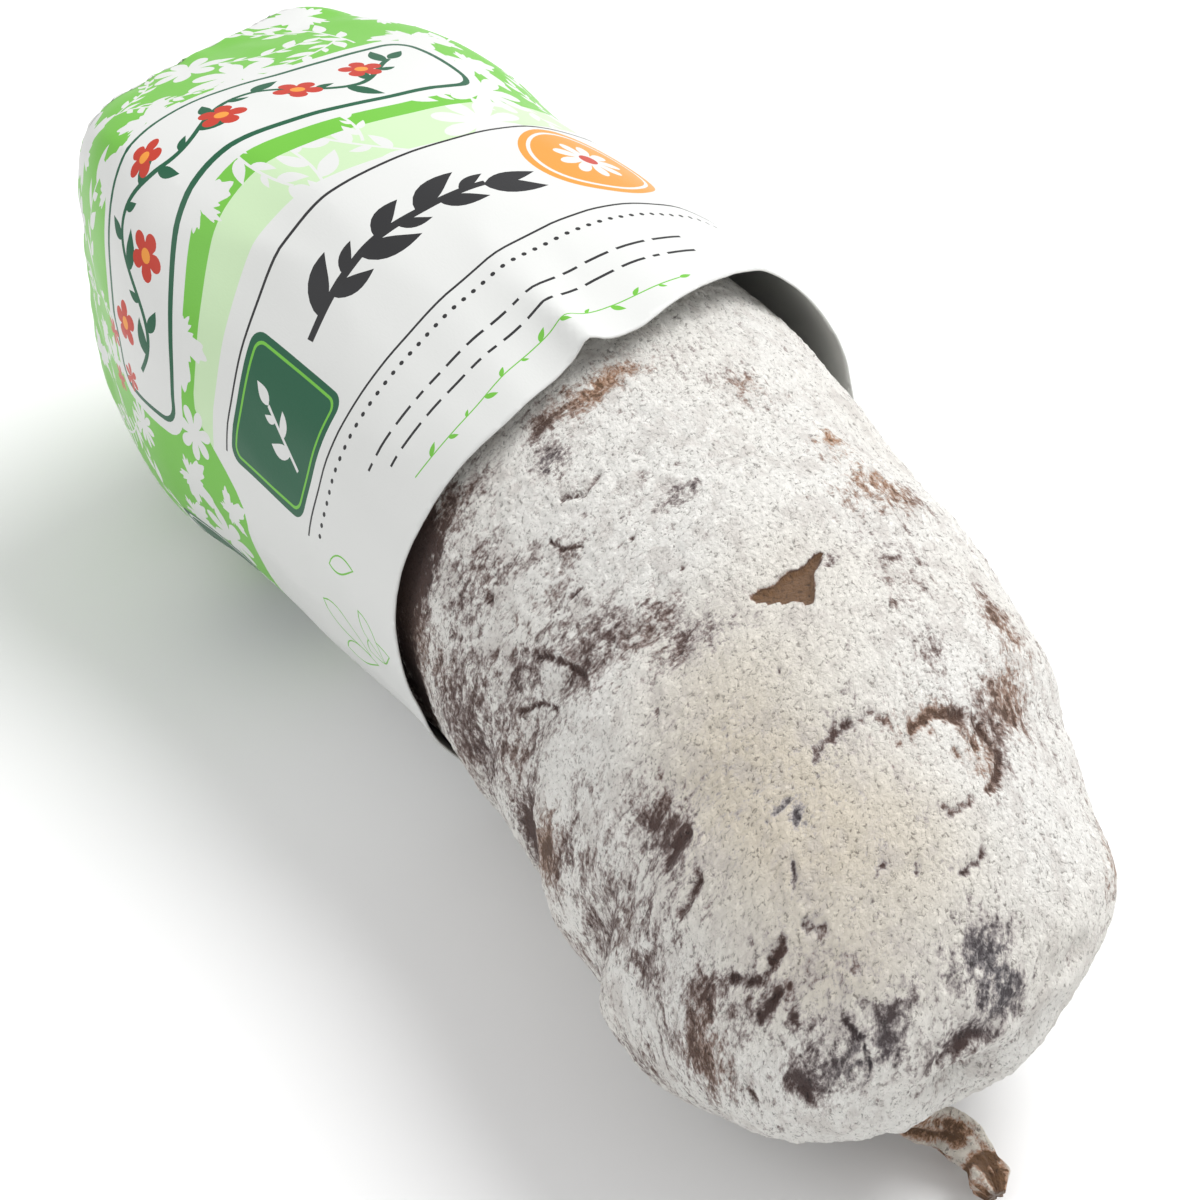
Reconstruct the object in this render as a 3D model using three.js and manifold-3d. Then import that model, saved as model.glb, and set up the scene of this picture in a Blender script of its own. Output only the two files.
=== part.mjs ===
// A small dry-cured sausage lying in a printed paper sleeve, with half of it showing.
// Millimetres, +Z up. +X runs along the length, from the sleeve's closed end to the sausage's free end.
// Both pieces follow one centre line, two level arcs that meet at the sleeve's mouth. Each piece is turned
// as a lathe solid along a straight axis and then bent onto that line.

import * as THREE from 'three';
import { mergeVertices } from 'three/addons/utils/BufferGeometryUtils.js';
import Module from 'manifold-3d';

const wasm = await Module();
wasm.setup();

const rad = THREE.MathUtils.degToRad;
const { smoothstep, lerp, clamp } = THREE.MathUtils;

// ---- driving dimensions ----

const SLEEVE_LENGTH = 78;
const FREE_LENGTH = 56; // of the second arc, from the mouth to about the sausage's free end
const START_HEADING = rad(18); // of the centre line at the closed end, turned left of +X
const SLEEVE_BEND = rad(19); // turn to the right along the sleeve
const FREE_BEND = rad(21); // turn to the right along the free part

const BODY_RADIUS = 26;
const END_RADIUS = 24; // the free end has dried out more
const FLAT_DEPTH = 0.9; // how far the weight has flattened the underside

const PAPER = 0.4; // the folded paper's thickness, with its inner layer
const CLEARANCE = 0.35; // air between the paper and the sausage that lies on it

const SEGMENTS = 48; // round each section

// ---- centre line ----

/** A point and heading on a level arc that starts at `start` and turns right by `turn` over `length`. */
function alongArc(start, turn, length, distance) {
  const curvature = turn / length;
  const heading = start.heading - curvature * distance;
  return {
    x: start.x - (Math.sin(heading) - Math.sin(start.heading)) / curvature,
    y: start.y + (Math.cos(heading) - Math.cos(start.heading)) / curvature,
    heading,
  };
}

const CLOSED_END = { x: 0, y: 0, heading: START_HEADING };
const MOUTH = alongArc(CLOSED_END, SLEEVE_BEND, SLEEVE_LENGTH, SLEEVE_LENGTH);

/** The centre line at distance s from the sleeve's closed end. */
function centreLine(s) {
  return s <= SLEEVE_LENGTH
    ? alongArc(CLOSED_END, SLEEVE_BEND, SLEEVE_LENGTH, s)
    : alongArc(MOUTH, FREE_BEND, FREE_LENGTH, s - SLEEVE_LENGTH);
}

/** The place of a point `left` of the centre line at distance s, at height z. */
function place(s, left, z) {
  const { x, y, heading } = centreLine(s);
  return new THREE.Vector3(x - left * Math.sin(heading), y + left * Math.cos(heading), z);
}

// ---- solids ----

/**
 * Turn a profile of [radius, s] points into a solid and move each vertex with `shape(s, left, up)`,
 * where left and up are its offsets from the lathe's axis.
 */
function bentLathe(profile, shape, segments = SEGMENTS) {
  const points = profile.map(([radius, s]) => new THREE.Vector2(radius, s));
  const lathe = new THREE.LatheGeometry(points, segments);
  const position = lathe.getAttribute('position');
  for (let i = 0; i < position.count; i += 1) {
    const moved = shape(position.getY(i), position.getX(i), position.getZ(i));
    position.setXYZ(i, moved.x, moved.y, moved.z);
  }
  return toManifold(lathe);
}

/** A closed manifold from a three.js geometry, turned the right way out. */
function toManifold(geometry) {
  const bare = new THREE.BufferGeometry();
  bare.setAttribute('position', geometry.getAttribute('position'));
  bare.setIndex(geometry.getIndex());
  const merged = mergeVertices(bare, 1e-4);
  const points = merged.getAttribute('position').array;
  const corners = [];
  const index = merged.getIndex().array;
  for (let i = 0; i < index.length; i += 3) {
    const [a, b, c] = index.slice(i, i + 3);
    if (a !== b && b !== c && c !== a) corners.push(a, b, c);
  }
  if (signedVolume(points, corners) < 0) corners.reverse();
  return new wasm.Manifold(
    new wasm.Mesh({
      numProp: 3,
      vertProperties: new Float32Array(points),
      triVerts: new Uint32Array(corners),
    }),
  );
}

function signedVolume(points, corners) {
  const vertex = (i) => new THREE.Vector3().fromArray(points, 3 * i);
  let sum = 0;
  for (let i = 0; i < corners.length; i += 3) {
    sum += vertex(corners[i]).dot(vertex(corners[i + 1]).cross(vertex(corners[i + 2])));
  }
  return sum / 6;
}

function toMesh(name, solid, material) {
  const { vertProperties, triVerts } = solid.getMesh();
  const geometry = new THREE.BufferGeometry();
  geometry.setAttribute('position', new THREE.BufferAttribute(new Float32Array(vertProperties), 3));
  geometry.setIndex(new THREE.BufferAttribute(new Uint32Array(triVerts), 1));
  geometry.computeVertexNormals();
  const mesh = new THREE.Mesh(geometry, material);
  mesh.name = name;
  return mesh;
}

// ---- sausage ----

const FAR_TIP = 5; // where the sausage starts, inside the sleeve
const FAR_CAP = 26; // length of the hidden, rounded end
const FAR_POWER = 2.4; // bluntness of that end, where 2 is an ellipse

// The free end rounds off while it bends down, so that its gathered tip faces the table.
const CAP_FROM = 105;
const CAP_LENGTH = 30;
const CAP_PITCH = rad(63);
const CAP_POWER = 3.1;
const FREE_TIP = CAP_FROM + CAP_LENGTH;

// It is lopsided too: its left side is cut back, the more so towards the table.
const TIP_LEFT = 1.5;
const END_SLANT = 0.35; // how much shorter the end is for each millimetre to the left
const END_TWIST = 0.2;

// Shallow rings where the meat has drawn in: [s, depth, half-width].
const WAISTS = [
  [102, 0.7, 4],
  [115, 0.8, 3.5],
];

/** Radius before the ends are rounded off. */
function bodyRadius(s) {
  const shrunk = smoothstep(s, SLEEVE_LENGTH - 20, FREE_TIP - 10);
  const waist = WAISTS.reduce((sum, [at, depth, width]) => sum + depth * Math.exp(-(((s - at) / width) ** 2)), 0);
  return lerp(BODY_RADIUS, END_RADIUS, shrunk) - waist;
}

/** How far s lies into either end's rounding, from 0 at its start to 1 at the tip. */
const intoFarCap = (s) => clamp((FAR_TIP + FAR_CAP - s) / FAR_CAP, 0, 1);
const intoFreeCap = (s) => clamp((s - CAP_FROM) / CAP_LENGTH, 0, 1);

const rounded = (share, power) => (1 - share ** power) ** (1 / power);

function sausageRadius(s) {
  return bodyRadius(s) * rounded(intoFarCap(s), FAR_POWER) * rounded(intoFreeCap(s), CAP_POWER);
}

/** Height of the surface that the sausage lies on: the paper inside the sleeve, the table past it. */
function bedHeight(s) {
  return lerp(PAPER + CLEARANCE, 0, smoothstep(s, SLEEVE_LENGTH + 1, SLEEVE_LENGTH + 9));
}

function sausagePoint(s, left, up) {
  const cap = intoFreeCap(s);
  const pitch = CAP_PITCH * cap;
  const bendRadius = CAP_LENGTH / CAP_PITCH;
  const bent = Math.min(s, CAP_FROM) + (bendRadius + up) * Math.sin(pitch);
  const slanted = bent - (END_SLANT - (END_TWIST * up) / END_RADIUS) * left * cap;
  const bed = bedHeight(s);
  const middle = lerp(BODY_RADIUS, END_RADIUS, smoothstep(s, SLEEVE_LENGTH, FREE_TIP)) - FLAT_DEPTH + bed;
  const height = middle - bendRadius * (1 - Math.cos(pitch)) + up * Math.cos(pitch);
  return place(slanted, left + TIP_LEFT * cap ** 2, Math.max(height, bed));
}

/** Distances along the sausage, close together in the rounded ends. */
function sausageStations() {
  const stations = [];
  const roundSteps = 9;
  for (let i = 0; i <= roundSteps; i += 1) {
    stations.push(FAR_TIP + FAR_CAP * (1 - Math.cos((i / roundSteps) * (Math.PI / 2))));
  }
  const middle = CAP_FROM - FAR_TIP - FAR_CAP;
  const middleSteps = 18;
  for (let i = 1; i < middleSteps; i += 1) {
    stations.push(FAR_TIP + FAR_CAP + (middle * i) / middleSteps);
  }
  for (let i = 0; i <= roundSteps; i += 1) {
    stations.push(CAP_FROM + CAP_LENGTH * Math.sin((i / roundSteps) * (Math.PI / 2)));
  }
  return stations;
}

function buildBody() {
  const profile = sausageStations().map((s) => [sausageRadius(s), s]);
  profile[0][0] = 0;
  profile[profile.length - 1][0] = 0;
  return bentLathe(profile, sausagePoint);
}

// The gathered neck of the casing: [distance from its root, radius]. It starts inside the body.
const NECK = [
  [0, 0],
  [0, 3.2],
  [4, 2.7],
  [6, 2.0],
  [9, 1.8],
  [12, 1.9],
  [14.5, 1.7],
  [16, 1.0],
  [17.5, 1.4],
  [19.5, 1.3],
  [20.5, 0.7],
  [20.5, 0],
];
const NECK_LENGTH = NECK[NECK.length - 1][0];

// The neck's course, as [s, left, height]: from inside the body out of its tip, and along the table.
const NECK_COURSE = [
  [126.5, 1.5, 13],
  [129.4, 2.2, 7.4],
  [130.2, 4.6, 4.6],
  [131.4, 7.4, 3.3],
  [133.8, 9.1, 2.6],
  [137.2, 9.7, 2.3],
];

function buildNeck() {
  const curve = new THREE.CatmullRomCurve3(NECK_COURSE.map(([s, left, height]) => place(s, left, height)));
  const up = new THREE.Vector3(0, 0, 1);
  return bentLathe(
    NECK.map(([distance, radius]) => [radius, distance]),
    (distance, left, rise) => {
      const at = distance / NECK_LENGTH;
      const tangent = curve.getTangentAt(at);
      const side = new THREE.Vector3().crossVectors(up, tangent).normalize();
      const over = new THREE.Vector3().crossVectors(tangent, side);
      return curve.getPointAt(at).addScaledVector(side, left).addScaledVector(over, rise);
    },
    16,
  );
}

function buildSausage() {
  const material = new THREE.MeshStandardMaterial({ color: 0xd9d2c8, roughness: 0.92, metalness: 0 });
  return toMesh('sausage', buildBody().add(buildNeck()), material);
}

// ---- paper sleeve ----

const SLEEVE_RADIUS = 28.3; // outside, at the mouth
const FOLD_HALF_WIDTH = 18.5; // of the squared, folded end
const FOLD_HALF_HEIGHT = 22;
const FOLD_REACH = 27; // over which the squared end opens out into a tube
const MOUTH_SETBACK = 10; // how much shorter the paper is on the left side than on the right
const SQUARE_POWER = 4; // of the folded end's section, where 2 is an ellipse

/** How far the section at s has opened from the folded end's shape to the round tube's. */
const opened = (s) => Math.sin(clamp(s / FOLD_REACH, 0, 1) * (Math.PI / 2));

/** The section's radius at an angle, as a share of SLEEVE_RADIUS: a superellipse that grows rounder. */
function sectionShare(s, angle) {
  const open = opened(s);
  const halfWidth = lerp(FOLD_HALF_WIDTH, SLEEVE_RADIUS, open) / SLEEVE_RADIUS;
  const halfHeight = lerp(FOLD_HALF_HEIGHT, SLEEVE_RADIUS, open) / SLEEVE_RADIUS;
  const power = lerp(SQUARE_POWER, 2, open);
  const sum =
    Math.abs(Math.cos(angle) / halfWidth) ** power + Math.abs(Math.sin(angle) / halfHeight) ** power;
  return sum ** (-1 / power);
}

/** Place a sleeve vertex. Those of the inside stay a paper's thickness above the table. */
function sleevePoint(s, left, up) {
  const radius = Math.hypot(left, up);
  const angle = Math.atan2(up, left);
  const share = sectionShare(s, angle);
  const setback = MOUTH_SETBACK * (0.5 + 0.5 * Math.cos(angle)) * (s / SLEEVE_LENGTH) ** 3;
  const inside = radius < SLEEVE_RADIUS - PAPER / 2 && s > PAPER / 2;
  const height = SLEEVE_RADIUS - FLAT_DEPTH + up * share;
  return place(s - setback, left * share, Math.max(height, inside ? PAPER : 0));
}

function buildSleeve() {
  const inner = SLEEVE_RADIUS - PAPER;
  const steps = 18;
  const outside = [];
  const inside = [];
  for (let i = 0; i <= steps; i += 1) {
    const run = (i / steps) ** 1.3; // closer together near the fold
    outside.push([SLEEVE_RADIUS, SLEEVE_LENGTH * run]);
    inside.unshift([inner, lerp(PAPER, SLEEVE_LENGTH, run)]);
  }
  const profile = [[0, 0], [SLEEVE_RADIUS / 2, 0], ...outside, ...inside, [inner / 2, PAPER], [0, PAPER]];
  const material = new THREE.MeshStandardMaterial({ color: 0xe9eae4, roughness: 0.75, metalness: 0 });
  return toMesh('paper_sleeve', bentLathe(profile, sleevePoint), material);
}

// ---- assembly ----

const object = new THREE.Group();
object.add(buildSleeve(), buildSausage());

// The row's origin is the middle of the footprint, on the table.
const footprint = new THREE.Box3().setFromObject(object).getCenter(new THREE.Vector3());
object.position.set(-footprint.x, -footprint.y, 0);

export default object;
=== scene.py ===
"""A short dry-cured sausage lying half inside its printed paper sleeve.

The sausage and the sleeve follow one level centre line, as in the CAD model. Places on either piece are
given by `s`, the distance along that line from the sleeve's folded end, and by an angle round it: 0 degrees
is the left side, 90 the top and 180 the right side, looking from the folded end. Lengths are in millimetres
until a mesh is made.
"""

import math

import bmesh
import bpy
import numpy as np
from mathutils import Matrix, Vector
from mathutils.geometry import delaunay_2d_cdt


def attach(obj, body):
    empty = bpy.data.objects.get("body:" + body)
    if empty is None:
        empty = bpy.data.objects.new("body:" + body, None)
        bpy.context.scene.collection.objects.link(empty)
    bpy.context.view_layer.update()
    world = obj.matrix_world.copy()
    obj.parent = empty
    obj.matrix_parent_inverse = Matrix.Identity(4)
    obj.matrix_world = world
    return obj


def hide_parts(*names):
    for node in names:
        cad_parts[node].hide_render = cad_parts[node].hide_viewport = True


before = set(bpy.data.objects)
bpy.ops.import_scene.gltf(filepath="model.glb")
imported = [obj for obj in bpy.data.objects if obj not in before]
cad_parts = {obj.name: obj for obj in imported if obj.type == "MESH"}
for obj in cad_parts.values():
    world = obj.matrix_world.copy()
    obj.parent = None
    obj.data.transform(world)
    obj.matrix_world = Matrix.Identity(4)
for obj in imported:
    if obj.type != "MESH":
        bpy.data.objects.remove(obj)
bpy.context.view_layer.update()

MM = 0.001
rad = math.radians


# ---- Shared shape: the centre line, as in the CAD model ----

CLOSED_END = (-66.7, -9.2)  # of the centre line, in the row's frame
SLEEVE_LENGTH = 78.0
FREE_LENGTH = 56.0
START_HEADING = rad(18)
SLEEVE_BEND = rad(19)
FREE_BEND = rad(21)


def along_arc(x, y, heading, turn, length, distance):
    """Points and headings on a level arc that turns right by `turn` over `length`."""
    curvature = turn / length
    new_heading = heading - curvature * distance
    new_x = x - (np.sin(new_heading) - np.sin(heading)) / curvature
    new_y = y + (np.cos(new_heading) - np.cos(heading)) / curvature
    return new_x, new_y, new_heading


def place(s, left, z):
    """Points `left` of the centre line at distances s, at heights z."""
    in_sleeve = np.minimum(s, SLEEVE_LENGTH)
    past_mouth = np.maximum(s - SLEEVE_LENGTH, 0)
    x, y, heading = along_arc(*CLOSED_END, START_HEADING, SLEEVE_BEND, SLEEVE_LENGTH, in_sleeve)
    x, y, heading = along_arc(x, y, heading, FREE_BEND, FREE_LENGTH, past_mouth)
    return points_from(x - left * np.sin(heading), y + left * np.cos(heading), z)


# ---- Numbers: ramps, noise and mesh making ----


def smooth(x, low, high):
    """0 at low, 1 at high, eased at both ends."""
    t = np.clip((x - low) / (high - low), 0, 1)
    return t * t * (3 - 2 * t)


def bell(distance, width):
    return np.exp(-((distance / width) ** 2))


def soft_floor(z, floor, softness=0.25):
    """z kept above the floor, with a rounded corner where it meets it."""
    over = np.clip((z - floor) / softness, -30, 30)
    return np.where(over < 29, floor + softness * np.log1p(np.exp(over)), z)


def turned(angle, other):
    """How far one angle is from another, in degrees, from -180 to 180."""
    return (angle - other + 180) % 360 - 180


def turn_steps(count):
    """Equal steps of one turn, in radians."""
    return np.arange(count) * 2 * math.pi / count


def averaging(width):
    """Weights of a running average."""
    weights = np.hanning(width)
    return weights / weights.sum()


class Noise:
    """Gradient noise in three dimensions, about -1 to 1, the same for the same seed."""

    def __init__(self, seed):
        random = np.random.default_rng(seed)
        self.order = np.tile(random.permutation(256), 3)
        gradients = random.normal(size=(256, 3))
        self.gradients = gradients / np.linalg.norm(gradients, axis=1, keepdims=True)

    def __call__(self, points):
        cell = np.floor(points).astype(int)
        inside = points - cell
        cell &= 255
        fade = inside**3 * (inside * (6 * inside - 15) + 10)
        total = 0
        for corner in np.ndindex(2, 2, 2):
            x, y, z = (cell[..., k] + corner[k] for k in range(3))
            gradient = self.gradients[self.order[self.order[self.order[x] + y] + z]]
            weight = np.prod([fade[..., k] if corner[k] else 1 - fade[..., k] for k in range(3)], axis=0)
            total = total + weight * np.sum(gradient * (inside - corner), axis=-1)
        return 1.6 * total

    def layered(self, points, octaves, gain=0.5):
        """Several octaves, each twice as fine and `gain` times as strong as the one before."""
        strengths = [gain**k for k in range(octaves)]
        total = sum(a * self(points * 2**k + 17.3 * k) for k, a in enumerate(strengths))
        return total / sum(strengths)


def points_from(*values):
    """Points from their coordinates, where a single number stands for all of them."""
    return np.stack(np.broadcast_arrays(*values), axis=-1)


def add_object(name, data):
    thing = bpy.data.objects.new(name, data)
    bpy.context.scene.collection.objects.link(thing)
    return thing


def new_mesh(name, points, faces, materials):
    """An object from points in millimetres and a list of faces."""
    mesh = bpy.data.meshes.new(name)
    mesh.from_pydata((points * MM).tolist(), [], faces)
    mesh.polygons.foreach_set("use_smooth", np.ones(len(mesh.polygons), dtype=bool))
    for material in materials:
        mesh.materials.append(material)
    return add_object(name, mesh)


def store(mesh, name, values):
    """A number for each vertex, for the materials to read."""
    attribute = mesh.attributes.new(name, "FLOAT", "POINT")
    attribute.data.foreach_set("value", np.asarray(values, dtype=np.float32))


def store_vectors(mesh, name, values):
    attribute = mesh.attributes.new(name, "FLOAT_VECTOR", "POINT")
    attribute.data.foreach_set("vector", np.asarray(values, dtype=np.float32).ravel())


def linear(red, green, blue):
    """A colour on the 0 to 255 display scale, as linear light."""
    shares = np.array([red, green, blue]) / 255
    return (*np.where(shares <= 0.04045, shares / 12.92, ((shares + 0.055) / 1.055) ** 2.4), 1.0)


# ---- Material nodes ----


class Nodes:
    """A short way to write a material's node tree."""

    def __init__(self, name, roughness, specular=0.4):
        self.material = bpy.data.materials.new(name)
        self.material.use_nodes = True
        self.tree = self.material.node_tree
        self.shader = self.tree.nodes["Principled BSDF"]
        self.shader.inputs["Roughness"].default_value = roughness
        self.shader.inputs["Specular IOR Level"].default_value = specular

    def add(self, kind, inputs=None, **settings):
        node = self.tree.nodes.new(kind)
        for key, value in settings.items():
            setattr(node, key, value)
        for key, value in (inputs or {}).items():
            self.feed(node.inputs[key], value)
        return node

    def feed(self, socket, value):
        if isinstance(value, bpy.types.NodeSocket):
            self.tree.links.new(value, socket)
        else:
            socket.default_value = value

    def math(self, operation, *values, clamp=False):
        node = self.add("ShaderNodeMath", operation=operation, use_clamp=clamp)
        for socket, value in zip(node.inputs, values):
            self.feed(socket, value)
        return node.outputs[0]

    def attribute(self, name):
        return self.add("ShaderNodeAttribute", attribute_name=name)

    def noise(self, vector, scale, detail=3.0, roughness=0.55, distortion=0.0):
        inputs = dict(Vector=vector, Scale=scale, Detail=detail, Roughness=roughness, Distortion=distortion)
        return self.add("ShaderNodeTexNoise", inputs).outputs["Fac"]

    def stretched(self, vector, amounts):
        return self.add("ShaderNodeVectorMath", {0: vector, 1: amounts}, operation="MULTIPLY").outputs[0]

    def ramp(self, value, *stops):
        """A colour ramp with (position, colour) stops."""
        node = self.add("ShaderNodeValToRGB", {"Fac": value})
        elements = node.color_ramp.elements
        while len(elements) < len(stops):
            elements.new(0.5)
        for element, (position, colour) in zip(elements, stops):
            element.position = position
            element.color = colour
        return node.outputs["Color"]

    def mix(self, share, first, second, blend="MIX"):
        node = self.add("ShaderNodeMix", data_type="RGBA", blend_type=blend)
        self.feed(node.inputs["Factor"], share)
        self.feed(node.inputs["A"], first)
        self.feed(node.inputs["B"], second)
        return node.outputs["Result"]

    def bump(self, height, distance, strength=1.0):
        inputs = dict(Height=height, Distance=distance, Strength=strength)
        self.feed(self.shader.inputs["Normal"], self.add("ShaderNodeBump", inputs).outputs["Normal"])


# ---- Sausage: one skin, from its hidden end to the tip of its gathered neck ----

BODY_RADIUS = 26.0
END_RADIUS = 24.0
FLAT_DEPTH = 0.9
FAR_TIP = 5.0
FAR_CAP = 26.0  # length of the hidden, rounded end
FAR_POWER = 2.4  # bluntness of that end
CAP_FROM = 105.0  # where the free end starts to round off and bend down
CAP_LENGTH = 30.0
CAP_PITCH = rad(63)
CAP_POWER = 3.1
FREE_TIP = CAP_FROM + CAP_LENGTH
TIP_LEFT = 1.5
END_SLANT = 0.35  # the left of the free end is shorter than its right
END_TWIST = 0.2  # the more so towards the table
SLEEVE_BED = 0.75  # height of what the sausage lies on inside the sleeve

ROUND = 544  # vertices round the body
NECK_ROUND = 68  # round the neck, a whole number of body steps each
HIDDEN_STEP = 1.2
SHOWN_STEP = 0.3
SHOWN_FROM = 60.0
NECK_RADIUS = 2.5
SKIN_PER_DEGREE = rad(1) * BODY_RADIUS

# Where the casing has drawn in between swellings: path of (s, angle), half-width, depth.
CREASES = [
    (
        [
            (103, 205), (102, 181), (99, 160), (100, 141), (103, 124), (106, 106), (105, 92), (102, 82),
            (100, 70),
        ],
        2.4, 0.75,
    ),
    (
        [
            (119, 205), (117, 172), (115, 148), (115, 128), (114.5, 108), (113.5, 92), (114, 75), (113, 50),
            (111, 20),
        ],
        2.0, 0.85,
    ),
    ([(92, 10), (90, 35), (88, 58)], 3.0, 0.6),
    ([(90, 215), (89, 190), (92, 172)], 2.5, 0.5),
    ([(123, 165), (121, 150), (121, 138)], 1.2, 0.4),
    ([(129, 84), (128.5, 72), (127, 60), (126, 45)], 0.9, 0.8),
]

# Swellings and, where negative, dents: s, angle, half-length, half-width, height.
SWELLINGS = [
    (84, 185, 9, 14, 0.8), (98, 30, 8, 14, 0.9), (109, 192, 4, 10, 0.8), (108, 38, 4, 12, 0.4),
    (116.3, 174, 2.2, 9, -0.8), (120.5, 180, 2.8, 9, 0.7), (109, 98, 4, 12, 0.5), (121, 102, 5, 13, 0.4),
    (123, 27, 4.0, 11, 1.6), (130, 52, 1.8, 7, -1.6), (132, 72, 1.6, 7, -3.6), (131.5, 100, 1.5, 6, -1.0),
]

# Open splits and worm-like furrows in the bloom, dark inside: path of (s, angle), half-width, depth.
SPLITS = [
    ([(114.7, 103), (113.9, 99), (113.4, 94)], 0.42, 0.35),
    ([(113.3, 92), (113.2, 89), (113.8, 86)], 0.3, 0.25),
    ([(114.2, 82), (113.6, 76), (113.8, 69)], 0.4, 0.35),
    ([(114, 66), (115.6, 62), (117, 65), (117.6, 69)], 0.38, 0.3),
    ([(117, 115), (116.3, 110)], 0.28, 0.3),
    ([(119.2, 112), (120, 112.5)], 0.4, 0.3),
    ([(119.9, 93), (120.3, 96)], 0.3, 0.25),
    ([(118, 81), (118.5, 78), (118, 73)], 0.25, 0.2),
    ([(121.2, 79), (120.4, 73)], 0.3, 0.25),
    ([(116.5, 139), (115.8, 132)], 0.4, 0.35),
    ([(119.5, 139), (119.1, 136), (118.2, 132)], 0.35, 0.4),
    ([(122.1, 112), (122.3, 108)], 0.35, 0.3),
    ([(123.5, 131), (124, 124), (122.6, 117)], 0.42, 0.45),
    ([(125.8, 127), (124.7, 120)], 0.35, 0.35),
    ([(83.2, 124), (84.5, 120), (83.8, 115)], 0.4, 0.35),
    ([(94.5, 148), (97.5, 144), (101.5, 141)], 0.3, 0.3),
    ([(92.5, 139), (93.2, 131)], 0.2, 0.2),
    ([(86, 131), (88, 130), (89.5, 126)], 0.22, 0.2),
    ([(96, 160), (98, 154), (101, 151)], 0.25, 0.25),
    ([(126.5, 108), (127.6, 104), (129, 103)], 0.25, 0.25),
]

# Round pits: s, angle, radius.
PITS = [
    (115.4, 73, 0.4), (115.3, 68, 0.45), (117.1, 109, 0.8), (122.2, 124, 0.45), (123.2, 121, 0.4),
    (124.5, 118, 0.4), (126, 119, 0.75), (129.6, 137, 0.7), (84.6, 149, 0.7), (88.8, 156, 0.8),
    (104.7, 85, 0.4), (129.8, 121, 1.0), (92.6, 117, 0.3), (99, 112, 0.35), (110, 104, 0.25),
    (108.5, 130, 0.35), (97, 82, 0.3), (120.7, 88, 0.3),
]

# A hole where the casing is bare, with a frayed arm on each side: its path, as (s, angle, half-width).
HOLE = [(102.9, 85, 0.15), (104.2, 89, 0.6), (105.5, 93, 1.35), (105.6, 97, 0.6), (105.3, 102, 0.12)]

# Where mould is thin and the casing shows: s, angle, half-length, half-width, strength.
THIN_MOULD = [
    (71.5, 158, 3.2, 5, 2.0), (73, 186, 4, 12, 1.3), (74, 141, 2.5, 5, 0.5), (75, 108, 2.0, 5, 0.55),
    (75.2, 99, 1.8, 3, 0.45), (75.5, 117, 2.0, 3, 0.5), (79.2, 121, 1.8, 2, 0.8), (81, 149, 4, 5, 0.5),
    (84.5, 140, 2.5, 3, 0.35), (88.5, 129, 2.5, 2.5, 0.45), (81, 77, 2.5, 4, 0.5), (77, 88, 2, 5, 0.3),
    (91, 104, 1.3, 3, 0.8), (87.3, 109, 1.2, 1.5, 0.5), (89, 67, 1.8, 2.6, 0.72), (93, 63, 2.5, 3.5, 0.5),
    (96.5, 68, 2.5, 4, 0.55), (96, 55, 2, 4, 0.6), (105.6, 71, 3, 3, 0.4), (104.1, 84, 0.9, 1.3, 0.6),
    (106.5, 53, 2, 2, 0.5), (108.5, 48, 2.5, 4, 0.7), (110.4, 73, 1.2, 1.8, 0.7), (113, 54, 1.6, 4, 0.8),
    (101.7, 124, 1.8, 5, 0.8), (105.5, 118, 1.6, 4, 0.65), (98, 134, 2.5, 4, 0.6), (93, 146, 3, 5, 0.5),
    (101, 143, 3, 4, 0.55), (83.4, 172, 6, 7, 0.55), (88, 183, 8, 8, 0.6), (96, 166, 6, 7, 0.5),
    (102, 182, 2.2, 6, 1.1), (106.5, 176, 2, 4, 0.9), (109.5, 174, 2, 4, 0.7),
    (113.8, 139, 2.4, 3.5, 0.75), (116.2, 136, 1.6, 2.5, 0.6), (113, 158, 4, 5, 0.4),
    (117, 170, 2.5, 6, 0.55), (119, 145, 2.5, 5, 0.35), (121, 154, 2.2, 3, 0.5),
    (123.4, 140, 1.8, 3, 0.65), (124.5, 123, 1.8, 5, 0.5), (126.7, 148, 2.4, 5, 0.8),
    (129.7, 121, 1.0, 2, 1.0), (128.6, 112, 1.5, 4, 0.65), (127.7, 97, 1.4, 1.4, 1.0),
    (124.5, 105, 1.0, 1.2, 0.6), (125.9, 95, 1.0, 1.5, 0.4), (124.6, 75, 1.9, 3.6, 0.9),
    (127, 70, 1.4, 3.4, 0.9), (129.2, 78, 0.8, 4, 0.9), (113.8, 80, 1.3, 10, 0.3), (122.5, 29, 3, 4, 0.7),
    (116, 63, 2.2, 4, 0.5), (103, 62, 6, 8, 0.2), (98, 20, 14, 9, 0.4), (115, 10, 8, 8, 0.5),
    (112, 205, 9, 8, 0.6), (126, 190, 4, 8, 0.5), (121, 92, 5, 16, 0.16), (127.5, 112, 4, 16, 0.14),
    (129, 88, 2, 8, 0.2),
]

# What shows there is tan or reddish brown where positive and slate grey where negative:
# s, angle, half-length, half-width, strength.
TINTS = [
    (75, 99, 2.2, 4, 1.0), (75.5, 107, 2.5, 4, 0.5), (89, 67, 2.2, 3, 1.5), (93, 63, 3, 4, 1.1),
    (96.5, 64, 3, 7, 0.7), (108.5, 48, 3, 4, 0.7), (113, 54, 2, 4, 0.4), (81, 77, 2, 3, 0.6),
    (101.7, 124, 2.5, 5, 0.1), (114, 78, 1.2, 4, 0.6), (115.5, 68, 1.5, 2.5, 0.8),
    (126.7, 148, 2.5, 5, 0.35), (107, 176, 3, 5, 0.6), (122, 29, 3, 4, 0.7), (124.6, 75, 2.5, 6, -0.8),
    (127.5, 70, 2.5, 6, -0.8), (128.6, 105, 3, 10, -0.7), (117.5, 110, 2.5, 4, -0.9),
    (91, 104, 2, 4, -0.6), (79.2, 121, 2, 3, -0.6),
]

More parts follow.
